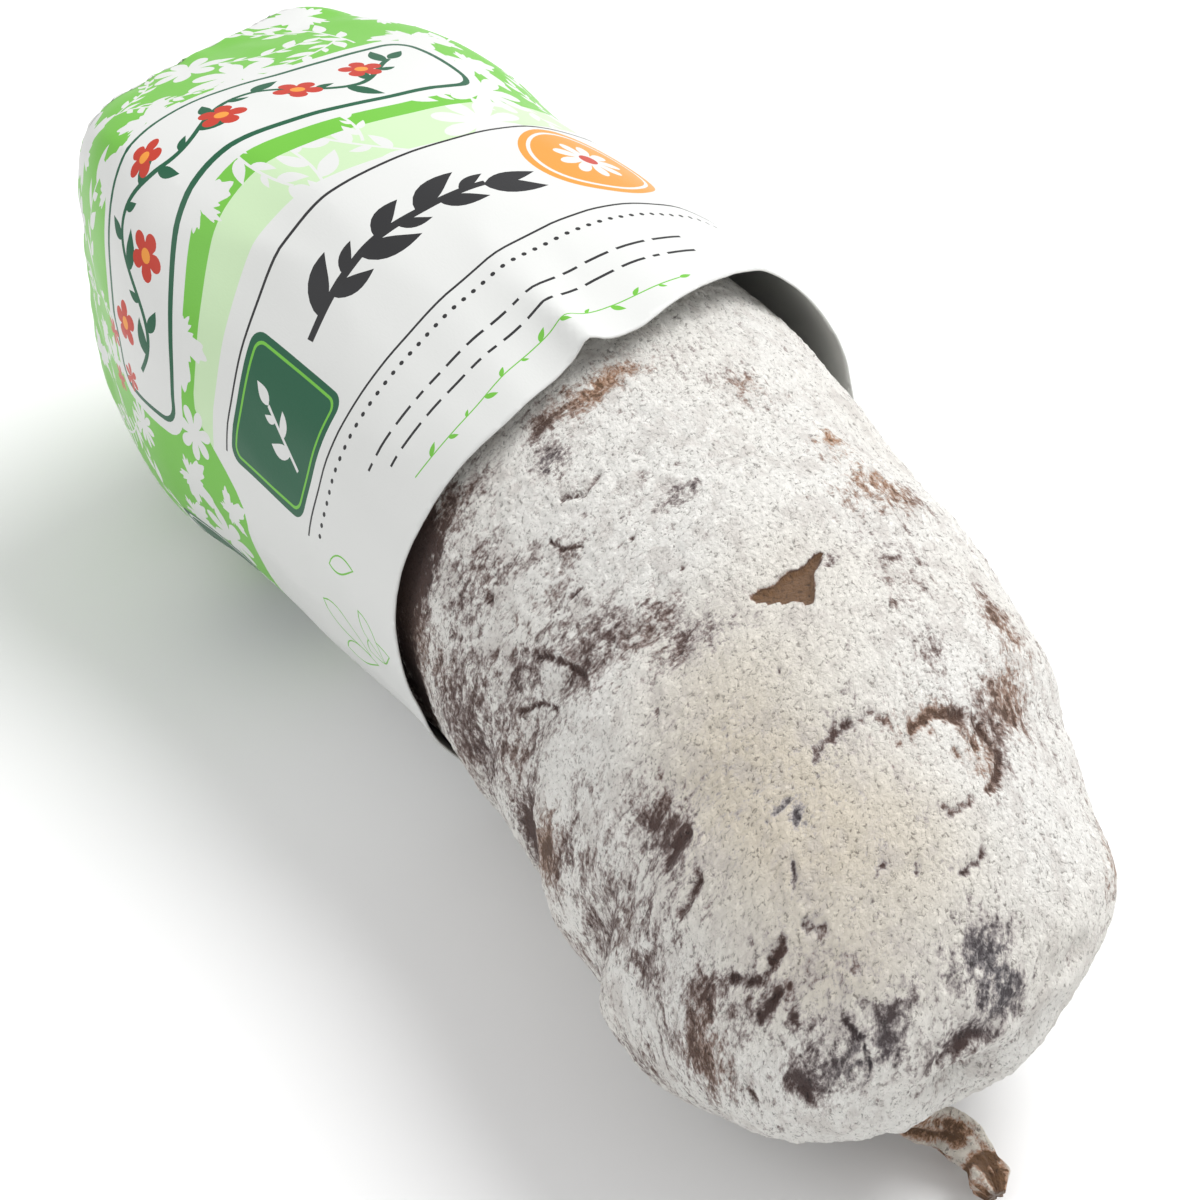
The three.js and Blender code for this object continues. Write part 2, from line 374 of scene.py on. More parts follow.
# Where the bloom has yellowed: s, angle, half-length, half-width, strength.
BEIGE_PATCHES = [
    (111, 118, 8, 10, 0.9), (118, 106, 5, 12, 0.9), (125, 108, 3, 9, 0.7), (121, 85, 4, 8, 0.45),
    (106, 86, 6, 9, 0.35), (126, 60, 4, 8, 0.4),
]


def body_radius(s):
    """Radius before the ends are rounded off."""
    return BODY_RADIUS + (END_RADIUS - BODY_RADIUS) * smooth(s, SLEEVE_LENGTH - 20, FREE_TIP - 10)


def into_cap(s):
    return np.clip((s - CAP_FROM) / CAP_LENGTH, 0, 1)


def profile():
    """Distances and radii along the sausage, evenly spaced along its outline."""
    s = FAR_TIP + (FREE_TIP - FAR_TIP) * (1 - np.cos(np.linspace(0, math.pi, 4001))) / 2
    far = np.clip((FAR_TIP + FAR_CAP - s) / FAR_CAP, 0, 1)
    rounded = (1 - far**FAR_POWER) ** (1 / FAR_POWER) * (1 - into_cap(s) ** CAP_POWER) ** (1 / CAP_POWER)
    radius = body_radius(s) * rounded
    run = np.concatenate([[0], np.cumsum(np.hypot(np.diff(s), np.diff(radius)))])
    at_neck = np.max(np.nonzero(radius > NECK_RADIUS + 0.3))
    shown_from = np.interp(SHOWN_FROM, s, run)
    hidden = np.arange(0.6, shown_from, HIDDEN_STEP)
    shown = np.arange(shown_from, run[at_neck], SHOWN_STEP)
    stops = np.concatenate([hidden, shown])
    return np.interp(stops, run, s), np.interp(stops, run, radius)


def bed_height(s):
    return SLEEVE_BED * (1 - smooth(s, SLEEVE_LENGTH - 2, SLEEVE_LENGTH + 8))


def body_points(s, radius, angle):
    """The body's skin before its detail. The free end is bent down, so that its tip faces the table."""
    cap = into_cap(s)
    left = radius * np.cos(angle)
    up = radius * np.sin(angle)
    pitch = CAP_PITCH * cap
    bend_radius = CAP_LENGTH / CAP_PITCH
    ahead = np.minimum(s, CAP_FROM) + (bend_radius + up) * np.sin(pitch)
    ahead = ahead - (END_SLANT - END_TWIST * up / END_RADIUS) * left * cap
    centre = body_radius(s) - FLAT_DEPTH + bed_height(s) - bend_radius * (1 - np.cos(pitch))
    return place(ahead, left + TIP_LEFT * cap**2, centre + up * np.cos(pitch))


def segment_distance(s, angle, start, end):
    """Distance over the skin to a segment between two (s, degrees), and the share along it."""
    run = np.array([end[0] - start[0], turned(end[1], start[1]) * SKIN_PER_DEGREE])
    ds, da = s - start[0], turned(angle, start[1]) * SKIN_PER_DEGREE
    share = np.clip((ds * run[0] + da * run[1]) / (run @ run), 0, 1)
    return np.hypot(ds - share * run[0], da - share * run[1]), share


def path_distance(s, angle, path):
    """Distance over the skin from each point to a path of (s, degrees) points."""
    return np.min([segment_distance(s, angle, *ends)[0] for ends in zip(path, path[1:])], axis=0)


def patches(s, angle, spots):
    """The sum of soft spots, each at (s, angle) with a half-length and half-width."""
    total = 0
    for s0, a0, length, width, strength in spots:
        across = turned(angle, a0) * SKIN_PER_DEGREE
        total = total + strength * bell(s - s0, length) * bell(across, width)
    return total


def hole_depth(s, angle):
    """1 inside the hole, 0 outside, with a steep rim."""
    deepest = 0
    for start, end in zip(HOLE, HOLE[1:]):
        distance, share = segment_distance(s, angle, start[:2], end[:2])
        outside = distance - (start[2] + (end[2] - start[2]) * share)
        deepest = np.maximum(deepest, 1 - smooth(outside, -0.15, 0.2))
    return deepest


def skin_fields(s, radius, angle):
    """Height and colour of the skin at each point. Angles are in degrees."""
    turn = np.radians(angle)
    # The skin over the bend of the free end is longer than its centre line.
    along = s + np.maximum(s - CAP_FROM, 0) * radius * np.sin(turn) * CAP_PITCH / CAP_LENGTH
    straight = points_from(along, radius * np.cos(turn), radius * np.sin(turn))
    warp = points_from(*(Noise(seed).layered(straight / 5, 3) for seed in (1, 2, 3)))
    frayed = Noise(13).layered(straight / 1.6, 2)
    bent_s = s + 1.3 * warp[..., 0]
    bent_angle = angle + 3.0 * warp[..., 1]

    lumps = 0.8 * Noise(4)(straight / 21) + 0.42 * Noise(5)(straight / 9)
    lumps = lumps + patches(s, angle, SWELLINGS)
    for path, width, depth in CREASES:
        distance = path_distance(bent_s, bent_angle, path)
        lumps = lumps - depth * bell(distance, width) * (0.8 + 0.5 * Noise(6)(straight / 6))

    # Fine wrinkles run along the body where the casing has shrunk, most on its upper left.
    wrinkled = 0.3 + 0.7 * bell(turned(angle, 72), 38) * (1 - 0.6 * smooth(s, 112, 122))
    fibres = straight * np.array([0.42, 1.05, 1.05]) + 0.8 * warp
    wrinkles = Noise(7).layered(fibres, 2, 0.6)
    ridges = 1 - 2 * np.abs(Noise(8).layered(fibres * 0.55 + 5, 2))

    # The bloom breaks up into crumbs and flakes, with the casing dark between them.
    flow = straight * np.array([0.42, 0.26, 0.26]) + 1.2 * warp
    flakes = Noise(9).layered(flow, 4, 0.62)
    crumbs = Noise(10).layered(straight * 1.05 + 0.5 * warp, 2, 0.7)
    thin = patches(bent_s + 0.5 * frayed, bent_angle, THIN_MOULD)
    patchy = smooth(turned(angle, 90), -10, 75)
    cover = 1.06 - 0.95 * thin * (1 + 0.7 * crumbs) - 0.12 * patchy
    cover = cover + (0.44 + 0.28 * patchy) * flakes + 0.14 * crumbs + 0.06 * wrinkles + 0.10 * lumps

    opened = 0
    for path, width, depth in SPLITS:
        distance = path_distance(s + 0.3 * frayed, angle + 0.8 * crumbs, path)
        here = bell(distance, 0.7 * width * (1 + 0.7 * frayed))
        opened = np.maximum(opened, here * smooth(crumbs, -0.9, -0.1))
        lumps = lumps - depth * here + 0.5 * depth * bell(distance - 1.8 * width, width)
    for pit_s, pit_angle, pit_radius in PITS:
        away = np.hypot(s - pit_s, turned(angle, pit_angle) * SKIN_PER_DEGREE)
        here = bell(away / pit_radius * (1 + 0.4 * frayed), 0.8)
        opened = np.maximum(opened, here)
        lumps = lumps - 0.3 * here
    hole = hole_depth(s + 0.25 * frayed, angle + 0.7 * crumbs)
    bare = smooth(-cover, -0.55, 0.1)

    crust = (1 - bare) * (1 - hole)
    height = lumps + wrinkled * (0.25 * wrinkles + 0.20 * ridges) * crust
    height = height + (0.24 * flakes + 0.20 * crumbs + 0.08 * frayed) * crust
    height = height - 0.16 * bare - (0.5 - 0.14 * crumbs) * hole
    cover = cover - 0.85 * opened - 3 * hole

    tint = 0.7 * patches(bent_s, bent_angle, TINTS) + 2.0 * hole + 0.2 * Noise(12)(straight / 8)
    beige = patches(bent_s, bent_angle, BEIGE_PATCHES) + 0.25 * Noise(11)(straight / 14)
    return height, cover, tint, beige, straight


def skin_grid():
    """Rings of skin with their detail, and each ring's fields."""
    s_line, radius_line = profile()
    s, angle = np.meshgrid(s_line, turn_steps(ROUND), indexing="ij")
    radius = np.broadcast_to(radius_line[:, None], s.shape)
    base = body_points(s, radius, angle)
    along = np.gradient(base, axis=0)
    across = np.roll(base, -1, axis=1) - np.roll(base, 1, axis=1)
    normal = np.cross(across, along)
    normal /= np.linalg.norm(normal, axis=-1, keepdims=True)

    height, cover, tint, beige, straight = skin_fields(s, radius, np.degrees(angle))
    shown = smooth(s, 58, 68)
    near_neck = smooth(radius, 2, 12)
    # The casing is gathered towards the neck in folds that fan out from it.
    fan = bell(radius - 3, 7) * smooth(s, FREE_TIP - 8, FREE_TIP - 1)
    pleats = (0.5 * np.sin(9 * angle + 2.2 * np.sin(3 * angle + 1)) + 0.2 * np.sin(23 * angle)) * fan
    points = base + normal * ((0.25 + 0.75 * shown) * height * near_neck + pleats)[..., None]
    points[..., 2] = soft_floor(points[..., 2], bed_height(s))
    return points, cover - 0.35 * fan + 0.4 * pleats, tint, beige, straight


# The neck's course from the body's tip down to the table: (s, left, height). Its radius is given at
# shares of the way along.
NECK_COURSE = [(129.8, 2.6, 6.4), (130.0, 4.6, 4.4), (130.6, 7.0, 3.2), (133.2, 8.9, 2.4), (137.2, 9.7, 1.9)]
NECK_OUTLINE = [
    (0, 2.5), (0.15, 2.2), (0.4, 1.95), (0.6, 1.8), (0.72, 1.95), (0.8, 1.6), (0.86, 1.35), (0.93, 1.55),
    (1, 0.8),
]
NECK_RINGS = 90


def neck_grid(root):
    """Rings along the gathered neck, starting from the ring of body points `root`."""
    knots = np.concatenate([[root.mean(axis=0)], place(*np.array(NECK_COURSE).T)])
    share = np.linspace(0, 1, NECK_RINGS + 1)[1:]
    knot_share = np.linspace(0, 1, len(knots))
    line = points_from(*(np.interp(share, knot_share, knots[:, k]) for k in range(3)))
    padded = np.pad(line, ((12, 12), (0, 0)), mode="reflect", reflect_type="odd")
    line = points_from(*(np.convolve(padded[:, k], averaging(25), mode="valid") for k in range(3)))
    tangent = np.gradient(line, axis=0)
    tangent /= np.linalg.norm(tangent, axis=1, keepdims=True)
    # Each ring is turned as little as can be from the one before, starting as the body's last ring.
    side = np.empty_like(line)
    last = root[0] - root[len(root) // 2]
    for k, ahead in enumerate(tangent):
        last = last - ahead * (last @ ahead)
        last = last / np.linalg.norm(last)
        side[k] = last
    over = np.cross(tangent, side)

    angle = turn_steps(NECK_ROUND)
    outline = np.array(NECK_OUTLINE)
    radius = np.interp(share, outline[:, 0], outline[:, 1])[:, None]
    twist = 2.6 * share[:, None]
    wave = 0.16 * np.cos(3 * angle + 3 * twist) + 0.10 * np.cos(7 * angle + 5 * twist + 1)
    grain = points_from(share[:, None] * 9, np.cos(angle) * 1.6, np.sin(angle) * 1.6)
    ragged = 0.22 * Noise(21).layered(grain, 3)
    frayed = smooth(share[:, None], 0.82, 0.95) * 0.55 * Noise(22)(grain * np.array([0.3, 2.2, 2.2]))
    radius = radius * (1 + wave + ragged + frayed)
    points = (
        line[:, None]
        + side[:, None] * (radius * np.cos(angle))[..., None]
        + over[:, None] * (radius * np.sin(angle))[..., None]
    )
    points[..., 2] = soft_floor(points[..., 2], 0.05)
    return points, np.broadcast_to(share[:, None], radius.shape), wave + ragged


def grid_faces(rings, sides, start=0):
    """Quads between closed rings of vertices, facing outwards."""
    index = start + np.arange(rings * sides).reshape(rings, sides)
    lower, upper = index[:-1], index[1:]
    return np.stack([lower, np.roll(lower, -1, 1), np.roll(upper, -1, 1), upper], axis=-1).reshape(-1, 4)


def build_sausage(material):
    points, cover, tint, beige, straight = skin_grid()
    neck, along_neck, relief = neck_grid(points[-1])
    neck_start = len(points) * ROUND
    far_pole = neck_start + len(neck) * NECK_ROUND
    tip_pole = far_pole + 1

    faces = grid_faces(len(points), ROUND).tolist()
    step = ROUND // NECK_ROUND
    last_ring = neck_start - ROUND
    for k in range(NECK_ROUND):
        fine = [last_ring + (k * step + i) % ROUND for i in range(step + 1)]
        faces.append([*fine, neck_start + (k + 1) % NECK_ROUND, neck_start + k])
    faces += grid_faces(len(neck), NECK_ROUND, neck_start).tolist()
    last_neck = far_pole - NECK_ROUND
    faces += [[last_neck + k, last_neck + (k + 1) % NECK_ROUND, tip_pole] for k in range(NECK_ROUND)]
    faces += [[(k + 1) % ROUND, k, far_pole] for k in range(ROUND)]

    poles = np.array([points[0].mean(axis=0), neck[-1].mean(axis=0)])
    every = np.concatenate([points.reshape(-1, 3), neck.reshape(-1, 3), poles])
    piece = new_mesh("sausage_skin", every, faces, [material])

    def joined(body_values, neck_values):
        on_neck = np.broadcast_to(neck_values, neck.shape[:2])
        return np.concatenate([body_values.ravel(), on_neck.ravel(), [0.5, 0.5]])

    knob = bell(along_neck - 0.77, 0.04) - bell(along_neck - 0.86, 0.02)
    neck_cover = 0.15 + 2.2 * relief + 0.2 * bell(along_neck - 0.5, 0.2) + 0.8 * knob
    store(piece.data, "cover", joined(cover, neck_cover))
    store(piece.data, "tint", joined(tint, 0.9))
    store(piece.data, "beige", joined(beige, 0.8))
    neck_straight = points_from(FREE_TIP + 18 * along_neck, neck[..., 1], neck[..., 2])
    flat = np.concatenate([straight.reshape(-1, 3), neck_straight.reshape(-1, 3), np.zeros((2, 3))])
    store_vectors(piece.data, "straight", flat)
    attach(piece, "root")
    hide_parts("sausage")
    return piece


MOULD_WHITE = linear(250, 248, 243)
MOULD_BEIGE = linear(224, 214, 197)
MOULD_GREY = linear(200, 192, 188)
MOULD_TAN = linear(212, 186, 166)
CASING_GREY = linear(140, 124, 119)
CASING_DARK = linear(84, 63, 57)
CASING_TAN = linear(118, 88, 62)
CASING_SLATE = linear(74, 74, 80)
DUST_CLOUD = linear(208, 200, 194)
MIDDLE_TAN = linear(190, 148, 118)
MIDDLE_SLATE = linear(132, 132, 136)


def casing_material():
    n = Nodes("mould_and_casing", roughness=0.92, specular=0.2)
    flat = n.attribute("straight").outputs["Vector"]
    speckle = n.noise(flat, 0.95, 6, 0.72, 0.5)
    grain = n.noise(flat, 2.6, 3, 0.65)
    # Dark streaks run along the body on its left and round it on its right.
    to_the_left = n.add("ShaderNodeSeparateXYZ", {0: flat}).outputs[1]
    leftness = n.math("MULTIPLY_ADD", to_the_left, 0.07, 0.9, clamp=True)
    lengthwise = n.noise(n.stretched(flat, (0.3, 1.3, 1.3)), 1.0, 4, 0.65, 0.6)
    crosswise = n.noise(n.stretched(flat, (1.4, 0.45, 0.45)), 1.0, 4, 0.68, 1.0)
    streaks = n.mix(leftness, crosswise, lengthwise)
    value = n.attribute("cover").outputs["Fac"]
    for source, strength in ((speckle, 2.0), (grain, 1.2), (streaks, 1.5)):
        value = n.math("MULTIPLY_ADD", n.math("SUBTRACT", source, 0.5), strength, value)
    beige = n.math("MULTIPLY", n.attribute("beige").outputs["Fac"], 0.85, clamp=True)
    tint = n.attribute("tint").outputs["Fac"]
    tan = n.math("MULTIPLY", tint, 1.0, clamp=True)
    slate = n.math("MULTIPLY", tint, -1.0, clamp=True)
    dark = n.mix(slate, n.mix(tan, CASING_DARK, CASING_TAN), CASING_SLATE)
    middle = n.mix(slate, n.mix(tan, CASING_GREY, MIDDLE_TAN), MIDDLE_SLATE)
    dusty = n.mix(n.math("MULTIPLY", tan, 0.6), MOULD_GREY, MOULD_TAN)
    clouds = n.noise(flat, 0.33, 4, 0.62, 0.4)
    powder = n.mix(beige, MOULD_WHITE, MOULD_BEIGE)
    black, white = (0, 0, 0, 1), (1, 1, 1, 1)
    clouded = n.ramp(clouds, (0.50, black), (0.62, (0.45, 0.45, 0.45, 1)))
    powder = n.mix(clouded, powder, DUST_CLOUD)
    scaled = n.math("MULTIPLY_ADD", value, 0.5, 0.2, clamp=True)
    colour = n.mix(n.ramp(scaled, (0.20, black), (0.34, white)), dark, middle)
    colour = n.mix(n.ramp(scaled, (0.33, black), (0.46, white)), colour, dusty)
    colour = n.mix(n.ramp(scaled, (0.44, black), (0.58, white)), colour, powder)
    # Painted shade: the hollows between the crust's crumbs are darkened in the colour, in place of the shade
    # that falls in them.
    crumbled = n.noise(flat, 2.3, 5, 0.72, 0.5)
    painted_cavity_shade = n.ramp(crumbled, (0.36, (0.27, 0.25, 0.24, 1)), (0.45, white))
    colour = n.mix(0.8, colour, painted_cavity_shade, "MULTIPLY")
    n.feed(n.shader.inputs["Base Color"], colour)
    n.bump(n.math("MULTIPLY_ADD", scaled, 0.8, crumbled), 0.0005, 1.0)
    n.shader.inputs["Sheen Weight"].default_value = 0.1
    n.shader.inputs["Sheen Roughness"].default_value = 0.6
    return n.material


# ---- Paper sleeve: a flat printed sheet, cut up along its artwork and wrapped round the sausage ----

SLEEVE_RADIUS = 28.3
FOLD_HALF_WIDTH = 18.5  # of the folded end
FOLD_HALF_HEIGHT = 22.0
FOLD_REACH = 27.0  # over which the squared end opens out into a tube
FOLD_SQUARE = 6.0  # superellipse power of the folded end's section above its middle
FOLD_SQUARE_BELOW = 3.2  # and below it
FOLD_CORNERS = (50, 130, 230, 310)  # angles of the four ridges that run from it
PAPER = 0.18
SEAM_ANGLE = 300.0  # where the sheet's lengthwise edges meet, underneath
PER_DEGREE = SLEEVE_RADIUS * rad(1)
SHEET_WIDTH = 360 * PER_DEGREE
LAP_WIDTH = 9.0  # of the glued lap beside the seam
LAP_STEP = 0.3
GRID = 0.9  # spacing of the sheet's plain vertices

INK_COLOURS = {
    "paper": linear(208, 209, 207),
    "leaf_green": linear(106, 178, 60),
    "dark_green": linear(22, 84, 57),
    "pale_green": linear(188, 212, 173),
    "black": linear(35, 35, 37),
    "red": linear(180, 52, 36),
    "ochre": linear(220, 142, 54),
    "inside": linear(207, 208, 205),
}
INKS = list(INK_COLOURS)  # a face's material index is its ink's place here

# Where the paper ends, as (angle, s).
MOUTH_EDGE = [
    (300, 71), (270, 71.5), (240, 72.5), (215, 74.5), (200, 76), (188, 75.8), (178, 74.3), (160, 73.6),
    (140, 73.6), (125, 74.3), (112, 73.8), (104, 73.3), (98, 73.9), (90, 73.8), (80, 72.3), (70, 70.6),
    (60, 68.6), (52, 67), (46, 66.6), (40, 67), (30, 67), (15, 67.5), (0, 68.5), (-30, 71), (-60, 72),
]

PLEAT_ANGLE = 103.0  # of the small tent at the mouth


def across_sheet(angle):
    """Where an angle falls across the flat sheet, from the seam."""
    return (SEAM_ANGLE - angle) * PER_DEGREE


def angle_at(x):
    return SEAM_ANGLE - x / PER_DEGREE


def paper_relief(x, s, angle):
    """How far the paper stands off its plain tube."""
    flat = points_from(x / 17, s / 34, 0)
    waves = 0.35 * Noise(31)(flat) + 0.14 * Noise(32)(flat * np.array([3.1, 2.0, 1]))
    creased = 0.16 * (1 - 2 * np.abs(Noise(33)(points_from(x / 9, s / 26, 0))))
    crumpled = 0.35 * Noise(34)(points_from(x / 5, s / 5, 0)) * bell(s, 6)
    pleat = across_sheet(PLEAT_ANGLE)
    tent = 1.0 * bell(x - pleat, 1.3) * smooth(s, 60, 73) + 0.4 * bell(x - pleat, 2.4) * smooth(s, 40, 70)
    beside = 0.35 * bell(x - pleat - 4.6, 2.8) + 0.25 * bell(x - pleat + 5.2, 3.4)
    sagged = -2.0 * bell(turned(angle, 120), 38) * smooth(s, 35, 72)
    far_side = 0.5 * bell(turned(angle, 30), 24) * smooth(s, 44, 64)
    far_side = far_side - 2.6 * bell(turned(angle, 48), 26) * bell(s - 14, 15)
    near_side = -1.3 * bell(turned(angle, 206), 30) * smooth(s, 50, 72)
    near_side = near_side - 1.0 * bell(turned(angle, 205), 30) * bell(s - 14, 14)
    corners = sum(0.5 * np.exp(-np.abs(turned(angle, corner)) / 5) for corner in FOLD_CORNERS)
    ridges = corners * (1 - smooth(s, 4, 38))
    relief = waves + creased + tent - beside * smooth(s, 46, 72) + sagged + far_side + near_side + ridges
    return relief * smooth(s, 0, 6) + crumpled


def lap_height(x):
    """The lap's edge is a step, and the layer on top of it sinks back to the tube further on."""
    edge = SHEET_WIDTH - LAP_WIDTH
    return LAP_STEP * smooth(x, edge - 28, edge - 1) * (x < edge + 0.01)


def section(s, angle):
    """Left and up of the plain tube at s: a superellipse that grows rounder from the fold."""
    turn = np.radians(angle)
    opened = np.sin(np.clip(s / FOLD_REACH, 0, 1) * math.pi / 2)
    half_width = FOLD_HALF_WIDTH + (SLEEVE_RADIUS - FOLD_HALF_WIDTH) * opened
    half_height = FOLD_HALF_HEIGHT + (SLEEVE_RADIUS - FOLD_HALF_HEIGHT) * opened
    cos, sin = np.cos(turn), np.sin(turn)
    square = FOLD_SQUARE_BELOW + (FOLD_SQUARE - FOLD_SQUARE_BELOW) * smooth(sin, -0.3, 0.3)
    power = 2 + (square - 2) * (1 - smooth(s, 0, 1.4 * FOLD_REACH)) ** 1.5
    radius = (np.abs(cos / half_width) ** power + np.abs(sin / half_height) ** power) ** (-1 / power)
    return radius, cos, sin


def wrap(x, s):
    """The sheet's point (x, s) on the wrapped sleeve's outside."""
    angle = angle_at(x)
    radius, cos, sin = section(s, angle)
    radius = radius + paper_relief(x, s, angle) + lap_height(x) * smooth(s, 0, 3)
    up = SLEEVE_RADIUS - FLAT_DEPTH + radius * sin
    return place(s, radius * cos, soft_floor(up, 0.0, 0.2))


# ---- Artwork: closed outlines in the sheet's (x, s), with s towards the mouth ----


def leaf(x, s, length, width, heading, bend=0.0, points=9):
    """A pointed leaf that grows from (x, s)."""
    t = np.linspace(0, 1, points)
    half = width / 2 * np.sin(math.pi * t**0.8)
    turn = heading + bend * t
    spine_x = x + np.concatenate([[0], np.cumsum(np.cos(turn[:-1]))]) * length / (points - 1)
    spine_s = s + np.concatenate([[0], np.cumsum(np.sin(turn[:-1]))]) * length / (points - 1)
    one = points_from(spine_x - half * np.sin(turn), spine_s + half * np.cos(turn))
    other = points_from(spine_x + half * np.sin(turn), spine_s - half * np.cos(turn))
    return np.concatenate([one, other[-2:0:-1]])


def around(x, s, reach, angle):
    return points_from(x + reach * np.cos(angle), s + reach * np.sin(angle))


def daisy(x, s, radius, petals, turn=0.0, depth=0.62):
    angle = turn_steps(petals * 10)
    reach = radius * (1 - depth + depth * np.abs(np.cos(petals * angle / 2)) ** 0.65)
    return around(x, s, reach, angle + turn)


def lobed_leaf(x, s, size, heading):
    """A broad leaf with five toothed lobes, its stalk pointing back along the heading."""
    angle = np.linspace(-math.pi, math.pi, 110, endpoint=False)
    lobes = 0.62 + 0.30 * np.cos(5 * angle) * (0.6 + 0.4 * np.cos(angle)) + 0.22 * np.cos(angle)
    teeth = 0.07 * np.cos(21 * angle)
    reach = size * (lobes + teeth) * (1 - 0.75 * bell(np.abs(angle) - math.pi, 0.35))
    return around(x, s, reach, angle + heading)


def disc(x, s, radius, points=44):
    return around(x, s, radius, turn_steps(points))


def rounded_box(x0, s0, x1, s1, corner):
    turns = np.linspace(0, math.pi / 2, 7)
    sides = []
    for k, (cx, cs) in enumerate([(x1, s1), (x0, s1), (x0, s0), (x1, s0)]):
        cx = cx + (-corner if cx == x1 else corner)
        cs = cs + (-corner if cs == s1 else corner)
        sides.append(around(cx, cs, corner, turns + k * math.pi / 2))
    return np.concatenate(sides)


def strip(path, width):
    """A line of a width along a path."""
    path = np.asarray(path, dtype=float)
    along = np.gradient(path, axis=0)
    along /= np.linalg.norm(along, axis=1, keepdims=True)
    side = points_from(-along[:, 1], along[:, 0]) * width / 2
    return np.concatenate([path + side, (path - side)[::-1]])


def sprig(path, leaf_length, leaf_width, spread, stem, gap):
    """A stem along a path, with leaves on alternate sides and one at its tip."""
    path = np.asarray(path, dtype=float)
    run = np.concatenate([[0], np.cumsum(np.linalg.norm(np.diff(path, axis=0), axis=1))])
    shapes = [strip(path, stem)]
    for k, at in enumerate(np.arange(gap, run[-1], gap)):
        x, s = (np.interp(at, run, c) for c in path.T)
        dx, ds = (np.interp(at + 0.5, run, c) - np.interp(at - 0.5, run, c) for c in path.T)
        side = 1 if k % 2 else -1
        size = 0.75 + 0.25 * math.sin(2.1 * k + 1)
        heading = math.atan2(ds, dx) + side * spread
        shapes.append(leaf(x, s, leaf_length * size, leaf_width * size, heading, -0.4 * side))
    tip = math.atan2(*(path[-1] - path[-2])[::-1])
    shapes.append(leaf(*path[-1], leaf_length * 0.8, leaf_width * 0.8, tip))
    return shapes


def wavy(x0, x1, s, swing, wavelength, points=60):
    x = np.linspace(x0, x1, points)
    return points_from(x, s + swing * np.sin((x - x0) * 2 * math.pi / wavelength))


BAND_FROM, BAND_TO = across_sheet(176), across_sheet(66)  # of the framed band


def scattered_foliage(random, count, low, high, keep_out):
    """White leaves and daisies thrown over the green ground, kept from crowding."""
    shapes, places = [], []
    for _ in range(count * 12):
        x = random.uniform(5, SHEET_WIDTH - 5)
        s = random.uniform(low, high)
        size = random.uniform(2.8, 5.6)
        if keep_out(x, s) or any(math.hypot(x - a, s - b) < 0.72 * (size + c) for a, b, c in places):
            continue
        places.append((x, s, size))
        heading = random.uniform(0, 2 * math.pi)
        kind = random.integers(4)
        if kind == 0:
            shapes.append(daisy(x, s, size, int(random.integers(7, 11)), heading))
        elif kind == 1:
            shapes.append(lobed_leaf(x, s, size * 1.15, heading))
        else:
            reach = np.array([math.cos(heading), math.sin(heading)]) * size * 1.3
            bow = np.array([-reach[1], reach[0]]) * random.uniform(-0.4, 0.4)
            t = np.linspace(-1, 1, 13)[:, None]
            path = np.array([x, s]) + t * reach + (1 - t * t) * bow
            shapes += sprig(path, size * 0.75, size * 0.30, 0.8, 0.28, size * 0.33)
        if len(places) == count:
            break
    return shapes


def ground_edge(x):
    """Where the green ground ends, towards the mouth. It dips on the right side."""
    angle = angle_at(x)
    return 33.5 + 9.5 * smooth(angle, 166, 186) * (1 - smooth(angle, 238, 262))


# The outlined leaves on the right side: angle, s, length, heading.
OUTLINED_LEAVES = [
    (188, 58, 8.5, 1.9), (193, 66, 7.5, 0.9), (181, 66, 6.5, 2.4), (200, 60, 7.0, 1.2), (176, 60.5, 5.0, 1.1),
]


